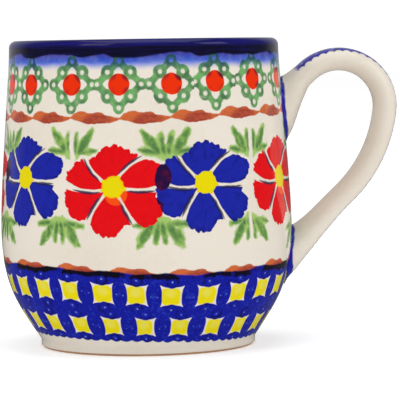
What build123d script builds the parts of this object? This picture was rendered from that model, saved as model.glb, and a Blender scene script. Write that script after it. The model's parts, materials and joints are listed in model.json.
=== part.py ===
"""A stoneware mug with a loop handle: clay body, clay handle, two slip joints and four coats of glaze.

The mug stands on the table plane Z = 0 with its turning axis on Z. The handle stands out along +X.
"""

import os
from math import cos, radians, sin

from build123d import *

# The turned body, in millimetres. Radii and heights are those of the glazed surface.
MUG_HEIGHT = 95.5
RIM_RADIUS = 42.0  # outside of the lip
LIP_THICKNESS = 4.4  # the lip is a full round across this
BELLY_RADIUS = 45.5  # the widest ring
BELLY_HEIGHT = 37.0  # height of the widest ring above the table
WALL = 4.2  # at the belly
FLOOR_TOP = 6.4  # inside floor above the table
FLOOR_RADIUS = 26.0  # where the inside floor starts to curve up into the wall

# The foot that the body stands on.
FOOT_RADIUS = 33.6
FOOT_HEIGHT = 2.4  # the upright band under the belly
FOOT_RING_WIDTH = 4.2
FOOT_ROUNDING = 0.5  # on the two edges that meet the table
RECESS_DEPTH = 1.6  # hollow under the floor, inside the foot ring

# How strongly each wall curve holds the direction of its ends.
SHOULDER_PULL = 8.0
WAIST_PULL = 14.0
BELLY_PULL = 18.5
HEEL_PULL = 12.0
HEEL_LEAN = 32.6  # degrees off upright where the belly reaches the foot
CAVITY_BELLY_PULL = 18.5
CAVITY_FLOOR_PULL = 9.0

# The coats.
GLAZE = 0.4  # thickness of every glaze coat
GLAZE_LINE = 0.7  # the outer glaze is wiped off below this height
SLIP = 0.9  # thickness of the slip between wall and handle

# The handle's centreline: a straight, a tight arc over the top, a wide arc down, a straight.
LOOP_REACH = 15.9  # the tight arc's centre, beyond the widest part of the body
LOOP_DROP = 21.7  # the tight arc's centre, below the lip's crest
LOOP_RADIUS = 14.8
BACK_RADIUS = 42.6
UPPER_LEAN = 42.2  # degrees above level at which the handle leaves the upper root
LOOP_TURN = 139.0
BACK_TURN = 39.5

# The handle's cross-section, an ellipse, and the flare that each end opens into at the wall.
HANDLE_THICKNESS = 7.2
HANDLE_WIDTH = 13.6
FLARE_LENGTH = 9.0  # the last part of each straight, outside the wall
ROOT_EMBED = 12.0  # each flare is drawn this far past the wall's surface, then cut to it
EARLY_GROWTH = 0.2  # the share of its growth that a flare has reached half way to the wall

# What each flare has grown by at its buried end: across the handle, on its underside and on its top.
UPPER_GROWTH = (10.0, 10.8, 4.0)
LOWER_GROWTH = (8.0, 3.0, 4.0)

# Worked out from the above.
LIP_RADIUS = LIP_THICKNESS / 2
LIP_CENTRE = (RIM_RADIUS - LIP_RADIUS, MUG_HEIGHT - LIP_RADIUS)
LOOP_CENTRE = (max(BELLY_RADIUS, RIM_RADIUS) + LOOP_REACH, MUG_HEIGHT - LOOP_DROP)
RECESS_RADIUS = FOOT_RADIUS - GLAZE - FOOT_RING_WIDTH


def crest(inset):
    """The lip's highest point, on the surface that lies inset below the glazed one."""
    return (LIP_CENTRE[0], LIP_CENTRE[1] + LIP_RADIUS - inset)


def outer_curve(inset, low_end):
    """Draws the outside from the lip's crest down to the height low_end, inset below the glazed surface."""
    lip = (LIP_CENTRE[0] + LIP_RADIUS - inset, LIP_CENTRE[1])
    belly = (BELLY_RADIUS - inset, BELLY_HEIGHT)
    heel = (FOOT_RADIUS - inset, FOOT_HEIGHT)
    lean = radians(HEEL_LEAN)
    CenterArc(LIP_CENTRE, LIP_RADIUS - inset, 0, 90)
    Bezier(
        lip,
        (lip[0], lip[1] - SHOULDER_PULL),
        (belly[0], belly[1] + WAIST_PULL),
        belly,
    )
    Bezier(
        belly,
        (belly[0], belly[1] - BELLY_PULL),
        (heel[0] + HEEL_PULL * sin(lean), heel[1] + HEEL_PULL * cos(lean)),
        heel,
    )
    Line(heel, (heel[0], low_end))


def cavity_curve(inset):
    """Draws the inside from the lip's crest down to the axis, inset below the glazed surface."""
    lip = (LIP_CENTRE[0] - LIP_RADIUS + inset, LIP_CENTRE[1])
    belly = (BELLY_RADIUS - WALL + inset, BELLY_HEIGHT)
    floor = (FLOOR_RADIUS, FLOOR_TOP - inset)
    CenterArc(LIP_CENTRE, LIP_RADIUS - inset, 90, 90)
    Bezier(
        lip,
        (lip[0], lip[1] - SHOULDER_PULL),
        (belly[0], belly[1] + WAIST_PULL),
        belly,
    )
    Bezier(
        belly,
        (belly[0], belly[1] - CAVITY_BELLY_PULL),
        (floor[0] + CAVITY_FLOOR_PULL, floor[1]),
        floor,
    )
    Line(floor, (0, floor[1]))


def wall_form(inset):
    """The whole turned shape with no hollow, inset below the glazed surface. It trims what meets the wall."""
    with BuildPart() as form:
        with BuildSketch(Plane.XZ):
            with BuildLine():
                outer_curve(inset, 0)
                Polyline((FOOT_RADIUS - inset, 0), (0, 0), (0, crest(inset)[1]), crest(inset))
            make_face()
        revolve(axis=Axis.Z)
    return form.part


def handle_line():
    """The two arcs of the handle's centreline, as one wire in the XZ plane."""
    lean = radians(UPPER_LEAN)
    start = (
        LOOP_CENTRE[0] - LOOP_RADIUS * sin(lean),
        LOOP_CENTRE[1] + LOOP_RADIUS * cos(lean),
    )
    with BuildLine(Plane.XZ) as line:
        loop = JernArc(start, (cos(lean), sin(lean)), LOOP_RADIUS, -LOOP_TURN)
        JernArc(loop @ 1, loop % 1, BACK_RADIUS, -BACK_TURN)
    return line.wires()[0]


ARCS = handle_line()


def straight(end, heading, wall_radius):
    """Three points on the straight that leaves an arc's end: flare start, half way to the wall, buried."""
    length = (end.X - wall_radius) / abs(heading.X)
    reaches = (length - FLARE_LENGTH, length - FLARE_LENGTH / 2, length + ROOT_EMBED)
    return [end + heading * reach for reach in reaches]


def handle_form(coat):
    """The handle from inside the wall to inside the wall, grown by coat all round."""
    upper = (straight(ARCS @ 0, (ARCS % 0) * -1, RIM_RADIUS), (ARCS % 0) * -1, UPPER_GROWTH)
    lower = (straight(ARCS @ 1, ARCS % 1, BELLY_RADIUS), ARCS % 1, LOWER_GROWTH)
    with BuildPart() as form:
        with BuildLine() as path:
            Line(upper[0][0], ARCS @ 0)
            add(ARCS)
            Line(ARCS @ 1, lower[0][0])
        with BuildSketch(Plane(upper[0][0], x_dir=(0, 1, 0), z_dir=upper[1])):
            Ellipse(HANDLE_WIDTH / 2 + coat, HANDLE_THICKNESS / 2 + coat)
        sweep(path=path.wires()[0])
        for centres, heading, (across, under, over) in (upper, lower):
            for centre, share in zip(centres, (0, EARLY_GROWTH, 1)):
                with BuildSketch(Plane(centre, x_dir=(0, 1, 0), z_dir=heading)):
                    with Locations((0, share * (under - over) / 2)):
                        Ellipse(
                            (HANDLE_WIDTH + share * across) / 2 + coat,
                            (HANDLE_THICKNESS + share * (under + over)) / 2 + coat,
                        )
            loft()
    return form.part


HANDLE_CLAY = handle_form(-GLAZE)
HANDLE_GLAZED = handle_form(0)
PARTING_HEIGHT = (ARCS @ 1).Z  # between the upper root and the lower one


def slip_joint(keep):
    """The layer of slip under one root of the handle, with the wall's curve on both of its faces."""
    with BuildPart() as joint:
        add(HANDLE_CLAY)
        add(wall_form(GLAZE - SLIP), mode=Mode.INTERSECT)
        add(wall_form(GLAZE), mode=Mode.SUBTRACT)
        split(bisect_by=Plane.XY.offset(PARTING_HEIGHT), keep=keep)
    return joint


# The clay body: wall, floor and foot ring, turned in one piece.
with BuildPart() as mug_body:
    with BuildSketch(Plane.XZ) as body_section:
        with BuildLine():
            outer_curve(GLAZE, 0)
            Polyline(
                (FOOT_RADIUS - GLAZE, 0),
                (RECESS_RADIUS, 0),
                (RECESS_RADIUS, RECESS_DEPTH),
                (0, RECESS_DEPTH),
                (0, FLOOR_TOP - GLAZE),
            )
            cavity_curve(GLAZE)
        make_face()
        fillet(body_section.vertices().group_by(Axis.Y)[0], FOOT_ROUNDING)
    revolve(axis=Axis.Z)

# The clay handle, cut to the curve of the slip that holds it.
with BuildPart() as handle:
    add(HANDLE_CLAY)
    add(wall_form(GLAZE - SLIP), mode=Mode.SUBTRACT)

upper_slip_joint = slip_joint(Keep.TOP)
lower_slip_joint = slip_joint(Keep.BOTTOM)

# The outer coat, open where the two slip joints pass through it, and wiped clean near the table.
with BuildPart() as outer_glaze:
    with BuildSketch(Plane.XZ):
        with BuildLine():
            outer_curve(0, GLAZE_LINE)
            Line((FOOT_RADIUS, GLAZE_LINE), (FOOT_RADIUS - GLAZE, GLAZE_LINE))
            outer_curve(GLAZE, GLAZE_LINE)
            Line(crest(GLAZE), crest(0))
        make_face()
    revolve(axis=Axis.Z)
    add(HANDLE_CLAY, mode=Mode.SUBTRACT)

# The liner coat, poured inside and meeting the outer coat along the lip's crest.
with BuildPart() as inner_glaze:
    with BuildSketch(Plane.XZ):
        with BuildLine():
            cavity_curve(0)
            Line((0, FLOOR_TOP), (0, FLOOR_TOP - GLAZE))
            cavity_curve(GLAZE)
            Line(crest(GLAZE), crest(0))
        make_face()
    revolve(axis=Axis.Z)

# The coat on the recess under the floor. The foot ring round it stays bare.
with BuildPart() as base_glaze:
    with BuildSketch(Plane.XY.offset(RECESS_DEPTH - GLAZE)):
        Circle(RECESS_RADIUS)
    extrude(amount=GLAZE)

# The coat on the handle, ending on the outer coat of the wall.
with BuildPart() as handle_glaze:
    add(HANDLE_GLAZED)
    add(HANDLE_CLAY, mode=Mode.SUBTRACT)
    add(wall_form(0), mode=Mode.SUBTRACT)

PIECES = {
    "mug_body": mug_body,
    "handle": handle,
    "upper_slip_joint": upper_slip_joint,
    "lower_slip_joint": lower_slip_joint,
    "outer_glaze": outer_glaze,
    "inner_glaze": inner_glaze,
    "base_glaze": base_glaze,
    "handle_glaze": handle_glaze,
}

os.makedirs("parts", exist_ok=True)
for name, piece in PIECES.items():
    piece.part.label = name
    export_step(piece.part, f"parts/{name}.step")
    print(name, "solids", len(piece.part.solids()), "volume", round(piece.part.volume, 1))
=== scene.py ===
"""A hand-painted stoneware mug on a pale table, built as clay, slip and glaze pieces around the CAD frame.

The mug stands on Z = 0 with its turning axis on Z and its handle along +X. Lengths are in metres unless a
name says otherwise. Painted patterns are worked out on the surface: millimetres round it and along it.
"""

from __future__ import annotations

import json
import logging
import math
from dataclasses import dataclass, field
from enum import Enum
from typing import Sequence

import bmesh
import bpy
from mathutils import Matrix, Vector

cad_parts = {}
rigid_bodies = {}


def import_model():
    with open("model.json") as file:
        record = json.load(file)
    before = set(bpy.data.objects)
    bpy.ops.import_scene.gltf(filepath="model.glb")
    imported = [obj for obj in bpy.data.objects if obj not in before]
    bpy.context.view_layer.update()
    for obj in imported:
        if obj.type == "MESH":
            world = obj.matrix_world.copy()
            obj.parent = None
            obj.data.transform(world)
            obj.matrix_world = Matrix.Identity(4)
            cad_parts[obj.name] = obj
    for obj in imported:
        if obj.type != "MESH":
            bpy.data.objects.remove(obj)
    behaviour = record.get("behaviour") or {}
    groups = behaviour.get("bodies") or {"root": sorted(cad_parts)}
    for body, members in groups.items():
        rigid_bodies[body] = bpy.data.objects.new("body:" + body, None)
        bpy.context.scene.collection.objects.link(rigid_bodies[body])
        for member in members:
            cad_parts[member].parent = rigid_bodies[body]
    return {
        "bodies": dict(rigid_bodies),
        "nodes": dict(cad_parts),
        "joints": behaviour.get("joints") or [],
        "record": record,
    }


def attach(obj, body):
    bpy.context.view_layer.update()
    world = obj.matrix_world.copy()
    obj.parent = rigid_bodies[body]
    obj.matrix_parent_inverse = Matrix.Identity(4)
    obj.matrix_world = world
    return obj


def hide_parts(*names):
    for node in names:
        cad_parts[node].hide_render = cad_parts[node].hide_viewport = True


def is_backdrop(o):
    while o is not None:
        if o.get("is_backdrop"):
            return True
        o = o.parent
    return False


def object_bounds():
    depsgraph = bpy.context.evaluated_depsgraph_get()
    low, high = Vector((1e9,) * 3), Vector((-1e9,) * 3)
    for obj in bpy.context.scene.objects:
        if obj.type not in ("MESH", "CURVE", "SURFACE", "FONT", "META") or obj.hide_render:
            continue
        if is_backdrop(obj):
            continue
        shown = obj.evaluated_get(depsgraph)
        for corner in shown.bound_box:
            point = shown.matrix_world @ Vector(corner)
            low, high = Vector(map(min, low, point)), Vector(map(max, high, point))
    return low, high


LOG = logging.getLogger("mug")

MM = 0.001
ROUND_TURN = 2 * math.pi
WRAP_RADIUS_MM = 44.5  # millimetres round the mug are measured at this radius
PAINT_MAP = "paint"  # the UV map that holds turns round the mug and metres along its surface

Colour = tuple[float, float, float]
Point = tuple[float, float]


# ----------------------------------------------------------------------------------------------------------
# Formulas as shader nodes
# ----------------------------------------------------------------------------------------------------------


class Sheet:
    """A node tree that formulas are written into."""

    def __init__(self, tree: bpy.types.NodeTree) -> None:
        """Keeps the tree.

        Args:
            tree: the node tree that new nodes go to.
        """
        self.tree = tree
        self.count = 0

    def node(self, kind: str, **settings: object) -> bpy.types.Node:
        """Adds a node.

        Args:
            kind: the node's type name.
            settings: properties to set on it.

        Returns:
            The new node.
        """
        made = self.tree.nodes.new(kind)
        made.location = (180 * (self.count % 40), -160 * (self.count // 40))
        made.hide = True
        self.count += 1
        for name, value in settings.items():
            setattr(made, name, value)
        return made

    def feed(self, socket: bpy.types.NodeSocket, value: "Value | float") -> None:
        """Links a formula to a socket, or sets the socket to a number."""
        if isinstance(value, Value):
            self.tree.links.new(value.socket, socket)
        else:
            socket.default_value = value

    def value(self, socket: bpy.types.NodeSocket) -> "Value":
        """Wraps an output socket as a formula."""
        return Value(self, socket)

    def maths(self, operation: str, *terms: "Value | float", clamp: bool = False) -> "Value":
        """Adds a Math node.

        Args:
            operation: the Math node's operation.
            terms: its inputs, in order.
            clamp: whether the result is held between 0 and 1.

        Returns:
            The node's result.
        """
        made = self.node("ShaderNodeMath", operation=operation, use_clamp=clamp)
        for socket, term in zip(made.inputs, terms):
            self.feed(socket, term)
        return Value(self, made.outputs[0])


class Value:
    """A number that varies over the surface, with the usual arithmetic."""

    def __init__(self, sheet: Sheet, socket: bpy.types.NodeSocket) -> None:
        """Keeps the sheet and the socket that gives the number."""
        self.sheet = sheet
        self.socket = socket

    def _do(self, operation: str, *others: "Value | float") -> "Value":
        """Applies a Math operation with this value first."""
        return self.sheet.maths(operation, self, *others)

    def __add__(self, other: "Value | float") -> "Value":
        """Adds."""
        return self._do("ADD", other)

    def __radd__(self, other: float) -> "Value":
        """Adds, with the number first."""
        return self._do("ADD", other)

    def __sub__(self, other: "Value | float") -> "Value":
        """Subtracts."""
        return self._do("SUBTRACT", other)

    def __rsub__(self, other: float) -> "Value":
        """Subtracts this value from a number."""
        return self.sheet.maths("SUBTRACT", other, self)

    def __mul__(self, other: "Value | float") -> "Value":
        """Multiplies."""
        return self._do("MULTIPLY", other)

    def __rmul__(self, other: float) -> "Value":
        """Multiplies, with the number first."""
        return self._do("MULTIPLY", other)

    def __truediv__(self, other: "Value | float") -> "Value":
        """Divides."""
        return self._do("DIVIDE", other)

    def __pow__(self, other: float) -> "Value":
        """Raises to a power."""
        return self._do("POWER", other)

    def __neg__(self) -> "Value":
        """Changes sign."""
        return self._do("MULTIPLY", -1.0)

    def __abs__(self) -> "Value":
        """Drops the sign."""
        return self._do("ABSOLUTE")

    def root(self) -> "Value":
        """Square root."""
        return self._do("SQRT")

    def sine(self) -> "Value":
        """Sine of an angle in radians."""
        return self._do("SINE")

    def least(self, other: "Value | float") -> "Value":
        """The smaller of the two."""
        return self._do("MINIMUM", other)

    def most(self, other: "Value | float") -> "Value":
        """The larger of the two."""
        return self._do("MAXIMUM", other)

    def soft_least(self, other: "Value | float", width: float) -> "Value":
        """The smaller of the two, with a rounded join."""
        return self._do("SMOOTH_MIN", other, width)

    def above(self, level: "Value | float") -> "Value":
        """1 where this value is more than the level, else 0."""
        return self._do("GREATER_THAN", level)

    def wrapped(self, low: float, high: float) -> "Value":
        """Repeats between two limits."""
        return self.sheet.maths("WRAP", self, high, low)

    def cell(self, pitch: float) -> "Value":
        """The number of the repeat that this value is in."""
        return self.sheet.maths("FLOOR", self / pitch)

    def held(self) -> "Value":
        """Held between 0 and 1."""
        return self.sheet.maths("ADD", self, 0.0, clamp=True)

    def ramp(self, low: "Value | float", high: "Value | float") -> "Value":
        """0 at low, 1 at high, smooth between. With low above high it falls."""
        made = self.sheet.node("ShaderNodeMapRange", interpolation_type="SMOOTHSTEP")
        for index, term in enumerate((self, low, high, 0.0, 1.0)):
            self.sheet.feed(made.inputs[index], term)
        return Value(self.sheet, made.outputs[0])

    def inside(self, edge: "Value | float", softness: float = 0.12) -> "Value":
        """A mask: 1 where this distance is less than the edge, with a soft border."""
        gap = self - edge if isinstance(edge, Value) else self + (-edge)
        return gap.ramp(softness, -softness)


def hypot(x: Value, y: Value) -> Value:
    """The distance from the origin."""
    return (x * x + y * y).root()


def pick(where: Value, edges: Sequence[float], *lists: Sequence[float]) -> list[Value]:
    """Numbers for each stretch of a coordinate.

    Args:
        where: the coordinate.
        edges: where one stretch ends and the next begins, rising.
        lists: for each number wanted, its value in each stretch, one more than the edges.

    Returns:
        For each list, the number for the stretch that the coordinate is in.
    """
    steps = [where.above(edge) for edge in edges]
    found = []
    for values in lists:
        result: Value | float = values[0]
        for step, before, after in zip(steps, values, values[1:]):
            if abs(after - before) > 1e-9:
                result = where.sheet.maths("MULTIPLY_ADD", step, after - before, result)
        found.append(result if isinstance(result, Value) else where * 0.0 + result)
    return found


def graph(value: Value, points: Sequence[Point]) -> Value:
    """Reads a graph given by its points.

    Args:
        value: where on the graph, held between its first and last points.
        points: the graph's points, from left to right.

    Returns:
        The graph's height there, smooth between the points.
    """
    left, right = points[0][0], points[-1][0]
    low, high = min(y for _, y in points), max(y for _, y in points)
    high = high if high > low else low + 1.0
    made = value.sheet.node("ShaderNodeFloatCurve")
    line = made.mapping.curves[0]
    shares = [((x - left) / (right - left), (y - low) / (high - low)) for x, y in points]
    line.points[0].location, line.points[-1].location = shares[0], shares[-1]
    for share in shares[1:-1]:
        line.points.new(*share)
    for point in line.points:
        point.handle_type = "AUTO_CLAMPED"
    made.mapping.update()
    share = value.sheet.maths("MULTIPLY_ADD", value, 1 / (right - left), -left / (right - left), clamp=True)
    value.sheet.feed(made.inputs["Value"], share)
    return Value(value.sheet, made.outputs[0]) * (high - low) + low


# ----------------------------------------------------------------------------------------------------------
# Colours, and shared effects as node groups
# ----------------------------------------------------------------------------------------------------------


def linear(red: int, green: int, blue: int) -> Colour:
    """Turns a display colour into the linear one that shaders use.

    Args:
        red: 0 to 255.
        green: 0 to 255.
        blue: 0 to 255.

    Returns:
        The linear colour.
    """
    shares = (level / 255 for level in (red, green, blue))
    return tuple(s / 12.92 if s <= 0.04045 else ((s + 0.055) / 1.055) ** 2.4 for s in shares)


class Paint(Enum):
    """The colours on the mug."""

    CREAM = linear(219, 211, 198)
    CREAM_SHADE = linear(206, 196, 180)
    SPECK = linear(120, 92, 66)
    COBALT = linear(14, 22, 142)
    COBALT_LIGHT = linear(38, 62, 186)
    COBALT_WASH = linear(36, 90, 204)
    COBALT_DOT = linear(140, 160, 214)
    NAVY = linear(6, 4, 24)
    # plum: brush streaks in the rim band, and a painted highlight on the lip's crest
    PLUM_STREAKS_AND_LIP_HIGHLIGHT = linear(22, 18, 100)
    LEAF = linear(84, 142, 50)
    LEAF_DARK = linear(22, 84, 34)
    LEAF_WASH = linear(146, 182, 88)
    ORANGE_THIN = linear(236, 84, 16)
    STAMP = linear(88, 156, 80)
    STAMP_DARK = linear(22, 92, 44)
    TEAL = linear(20, 50, 78)
    BROWN = linear(192, 86, 22)
    BROWN_DARK = linear(146, 32, 0)
    ORANGE = linear(220, 44, 5)
    ORANGE_DARK = linear(80, 26, 40)
    RED = linear(213, 9, 17)
    RED_DARK = linear(186, 4, 16)
    BLUE = linear(24, 34, 150)
    BLUE_DARK = linear(14, 16, 84)
    OVERLAP = linear(34, 10, 56)
    OVERLAP_WARM = linear(92, 10, 48)
    YELLOW = linear(217, 201, 2)
    YELLOW_PALE = linear(214, 204, 76)
    YELLOW_WARM = linear(236, 150, 20)
    INK = linear(30, 26, 62)
    CLAY = linear(186, 146, 110)
    CLAY_DARK = linear(150, 106, 74)


class Group:
    """A shader node group with named inputs and outputs."""

    def __init__(self, name: str, inputs: Sequence[str], outputs: Sequence[str]) -> None:
        """Makes the group's tree and sockets.

        Args:
            name: the group's name.
            inputs: the names of its inputs, all numbers.
            outputs: the names of its outputs. One called Colour is a colour, the others are numbers.
        """
        self.tree = bpy.data.node_groups.new(name, "ShaderNodeTree")
        for label in inputs:
            self.tree.interface.new_socket(label, in_out="INPUT", socket_type="NodeSocketFloat")
        for label in outputs:
            kind = "NodeSocketColor" if label == "Colour" else "NodeSocketFloat"
            self.tree.interface.new_socket(label, in_out="OUTPUT", socket_type=kind)
        self.sheet = Sheet(self.tree)
        self.entry = self.sheet.node("NodeGroupInput")
        self.exit = self.sheet.node("NodeGroupOutput")

    def given(self, name: str) -> Value:
        """An input of the group as a formula."""
        return Value(self.sheet, self.entry.outputs[name])

    def give(self, **results: Value) -> None:
        """Sends formulas to the group's outputs, by name."""
        for name, value in results.items():
            self.tree.links.new(value.socket, self.exit.inputs[name])

    def placed(self, sheet: Sheet, *terms: "Value | float") -> list[Value]:
        """Places the group in another tree.

        Args:
            sheet: the tree's sheet.
            terms: a formula or number for each input, in order.

        Returns:
            The placed group's outputs, in order.
        """
        made = sheet.node("ShaderNodeGroup", node_tree=self.tree)
        for socket, term in zip(made.inputs, terms):
            sheet.feed(socket, term)
        return [Value(sheet, socket) for socket in made.outputs]


def noises(sheet: Sheet, scale: float, detail: float, place: Value | None = None,
           seed: float = 0.0) -> list[Value]:
    """Three unrelated smooth noises about 0, mostly from -0.5 to 0.5.

    Args:
        sheet: where the nodes go.
        scale: features per metre, or per unit of the place.
        detail: how many finer layers are added.
        place: the position, or None for the piece's own metres.
        seed: which noise of the family.

    Returns:
        The noises.
    """
    made = sheet.node("ShaderNodeTexNoise", noise_dimensions="4D")
    if place is None:
        place = Value(sheet, sheet.node("ShaderNodeTexCoord").outputs["Object"])
    sheet.tree.links.new(place.socket, made.inputs["Vector"])
    made.inputs["W"].default_value = seed
    made.inputs["Scale"].default_value = scale
    made.inputs["Detail"].default_value = detail
    parted = sheet.node("ShaderNodeSeparateColor")
    sheet.tree.links.new(made.outputs["Color"], parted.inputs[0])
    return [(Value(sheet, socket) + -0.5) * 1.8 for socket in parted.outputs]


def joined(sheet: Sheet, *terms: "Value | float") -> Value:
    """Joins three numbers as a position."""
    made = sheet.node("ShaderNodeCombineXYZ")
    for socket, term in zip(made.inputs, terms):
        sheet.feed(socket, term)
    return Value(sheet, made.outputs[0])


def over(sheet: Sheet, below: "Value | Paint", above: "Value | Paint", mask: "Value | float") -> Value:
    """Lays one colour over another.

    Args:
        sheet: where the node goes.
        below: the colour underneath.
        above: the colour on top.
        mask: how much of the top colour shows.

    Returns:
        The combined colour.
    """
    made = sheet.node("ShaderNodeMix", data_type="RGBA")
    sheet.feed(made.inputs[0], mask)
    for socket, colour in ((made.inputs[6], below), (made.inputs[7], above)):
        if isinstance(colour, Paint):
            socket.default_value = (*colour.value, 1.0)
        else:
            sheet.tree.links.new(colour.socket, socket)
    return Value(sheet, made.outputs[2])


def glaze_body_group() -> Group:
    """The cream glaze: faint mottling, rare specks of iron, and an even, slightly rippled gloss. Its Shade
    input darkens the whole piece as painted shade.
    """
    group = Group("glaze_body", ("Shade",), ("Colour", "Roughness", "Height"))
    sheet = group.sheet
    broad, fine, _ = noises(sheet, 38, 3)
    grain, speck, ripple = noises(sheet, 900, 2, seed=3.0)
    # Shade darkens the whole piece towards the shaded cream as painted shade, on top of the mottling from the
    # noises.
    colour = over(sheet, Paint.CREAM, Paint.CREAM_SHADE,
                  (broad * 0.8 + grain * 0.35 + group.given("Shade")).held())
    colour = over(sheet, colour, Paint.SPECK, speck.ramp(0.62, 0.74) * fine.above(0.0) * 0.5)
    roughness = (broad * 0.03 + grain * 0.02 + 0.085).held()
    group.give(Colour=colour, Roughness=roughness, Height=fine * 0.7 + ripple * 0.08)
    return group


def cobalt_group() -> Group:
    """Cobalt that was sponged on: lighter where it lies thin, navy where it pooled."""
    group = Group("sponged_cobalt", ("Depth", "Grain"), ("Colour",))
    sheet = group.sheet
    broad, _, _ = noises(sheet, 260, 2, seed=5.0)
    grain, thin, _ = noises(sheet, 1150, 2, seed=6.0)
    depth = group.given("Depth") + grain * group.given("Grain") + broad * 0.35
    colour = over(sheet, Paint.COBALT, Paint.COBALT_LIGHT, (thin * 1.1 - depth * 0.9).held())
    group.give(Colour=over(sheet, colour, Paint.NAVY, depth.ramp(0.25, 1.0)))
    return group


def bare_clay_group() -> Group:
    """Bare fired clay: sandy, with darker grains and pits."""
    group = Group("bare_clay", ("Coarseness",), ("Colour", "Roughness", "Height"))
    sheet = group.sheet
    broad, sand, pits = noises(sheet, 90, 3, seed=8.0)
    grain, dark, _ = noises(sheet, 1800, 3, seed=9.0)
    coarse = group.given("Coarseness")
    colour = over(sheet, Paint.CLAY, Paint.CLAY_DARK,
                  (broad * 0.6 + grain * coarse + dark.above(0.35) * 0.3 + 0.3).held())
    group.give(Colour=colour, Roughness=(sand * 0.1 + grain * 0.1 + 0.72).held(),
               Height=grain * coarse + pits * 0.4)
    return group


# ----------------------------------------------------------------------------------------------------------
# The painted motifs, each a node group drawn in millimetres about its own centre
# ----------------------------------------------------------------------------------------------------------


@dataclass(frozen=True)
class Row:
    """Motifs set round the mug by hand, each at its own angle in degrees and height in millimetres."""

    angles: tuple[float, ...]
    heights: tuple[float, ...]

    def local(self, turn: Value, height: Value) -> tuple[Value, Value]:
        """Places each motif.

        Args:
            turn: degrees round the mug.
            height: millimetres up the wall.

        Returns:
            Millimetres across and up from the nearest motif's centre.
        """
        placed = sorted(zip(self.angles, self.heights))
        angles = [angle for angle, _ in placed]
        cut = (angles[-1] - 360 + angles[0]) / 2
        edges = [(a + b) / 2 for a, b in zip(angles, angles[1:])]
        centre, level = pick(turn.wrapped(cut, cut + 360), edges, angles, [h for _, h in placed])
        across = (turn.wrapped(cut, cut + 360) - centre) * (math.pi / 180 * WRAP_RADIUS_MM)
        return across, height - level


@dataclass(frozen=True)
class LaceStamp:
    """A diamond of eight small rings with a round dot in the middle."""

    reach: float = 7.0
    corner: Point = (3.65, 3.6)
    ring: float = 2.15
    hole: float = 0.7
    cord: float = 1.05
    dot: float = 3.35

    def group(self) -> Group:
        """Builds the stamp's node group."""
        group = Group("lace_stamp", ("Across", "Up"), ("Green", "Deep", "Dot", "Overlap"))
        sheet = group.sheet
        x, y = abs(group.given("Across")), abs(group.given("Up"))
        broad, pool, _ = noises(sheet, 330, 2, seed=11.0)
        corner = hypot(x - self.corner[0], y - self.corner[1])
        ring = hypot(x - self.reach, y).least(hypot(x, y - self.reach)).least(corner)
        cord = abs(x + y - self.reach) * 0.7071 - self.cord
        tips = hypot(x - self.reach, y).least(hypot(x, y - self.reach)) + 0.35
        shape = cord.soft_least(tips.least(corner) - self.ring, 0.35) + pool * 0.35
        shape = shape.most(hypot(x, y) * -1.0 + 2.6)
        green = shape.inside(0.0, 0.2) * (1 - ring.inside(self.hole, 0.22) * 0.9)
        deep = (abs(ring - 1.4).ramp(0.9, 0.0) * 0.3 + broad * 1.8 + pool * 0.8 + 0.3).held()
        dot = hypot(x, y * 1.03).inside(self.dot, 0.16)
        lean = group.given("Up") * 0.12 + group.given("Across") * 0.07 + 0.45 + broad * 0.8
        group.give(Green=green, Deep=deep, Dot=dot, Overlap=dot * corner.inside(2.95, 0.45) * lean.held())
        return group


@dataclass(frozen=True)
class LeafStroke:
    """Two leaf-shaped dabs of the brush that overlap in the middle, one repeat of a painted ring."""

    top: tuple[Point, ...] = ((0, 0.5), (0.12, 1.75), (0.22, 2.2), (0.44, 1.7), (0.56, 2.0), (0.72, 0.95),
                              (1, 0.25))
    bottom: tuple[Point, ...] = ((0, -0.4), (0.2, -0.95), (0.44, -1.75), (0.56, -1.5), (0.76, -1.4),
                                 (1, -0.4))

    def group(self) -> Group:
        """Builds the stroke's node group."""
        group = Group("leaf_stroke", ("Share", "Up"), ("Mask", "Dark"))
        sheet = group.sheet
        share, up = group.given("Share"), group.given("Up")
        streak, edge, _ = noises(sheet, 1, 2, joined(sheet, share * 9, up * 1.1), seed=13.0)
        rough = edge * 0.4
        mask = ((graph(share, self.top) + rough - up).ramp(-0.15, 0.25)
                * (up - graph(share, self.bottom) + rough).ramp(-0.15, 0.25))
        lean = share - up * 0.05
        both = lean.ramp(0.18, 0.4) * lean.ramp(0.92, 0.7)
        group.give(Mask=mask, Dark=(both * 0.75 + streak * 1.1 - up * 0.12 + 0.1).held() * mask)
        return group


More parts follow.
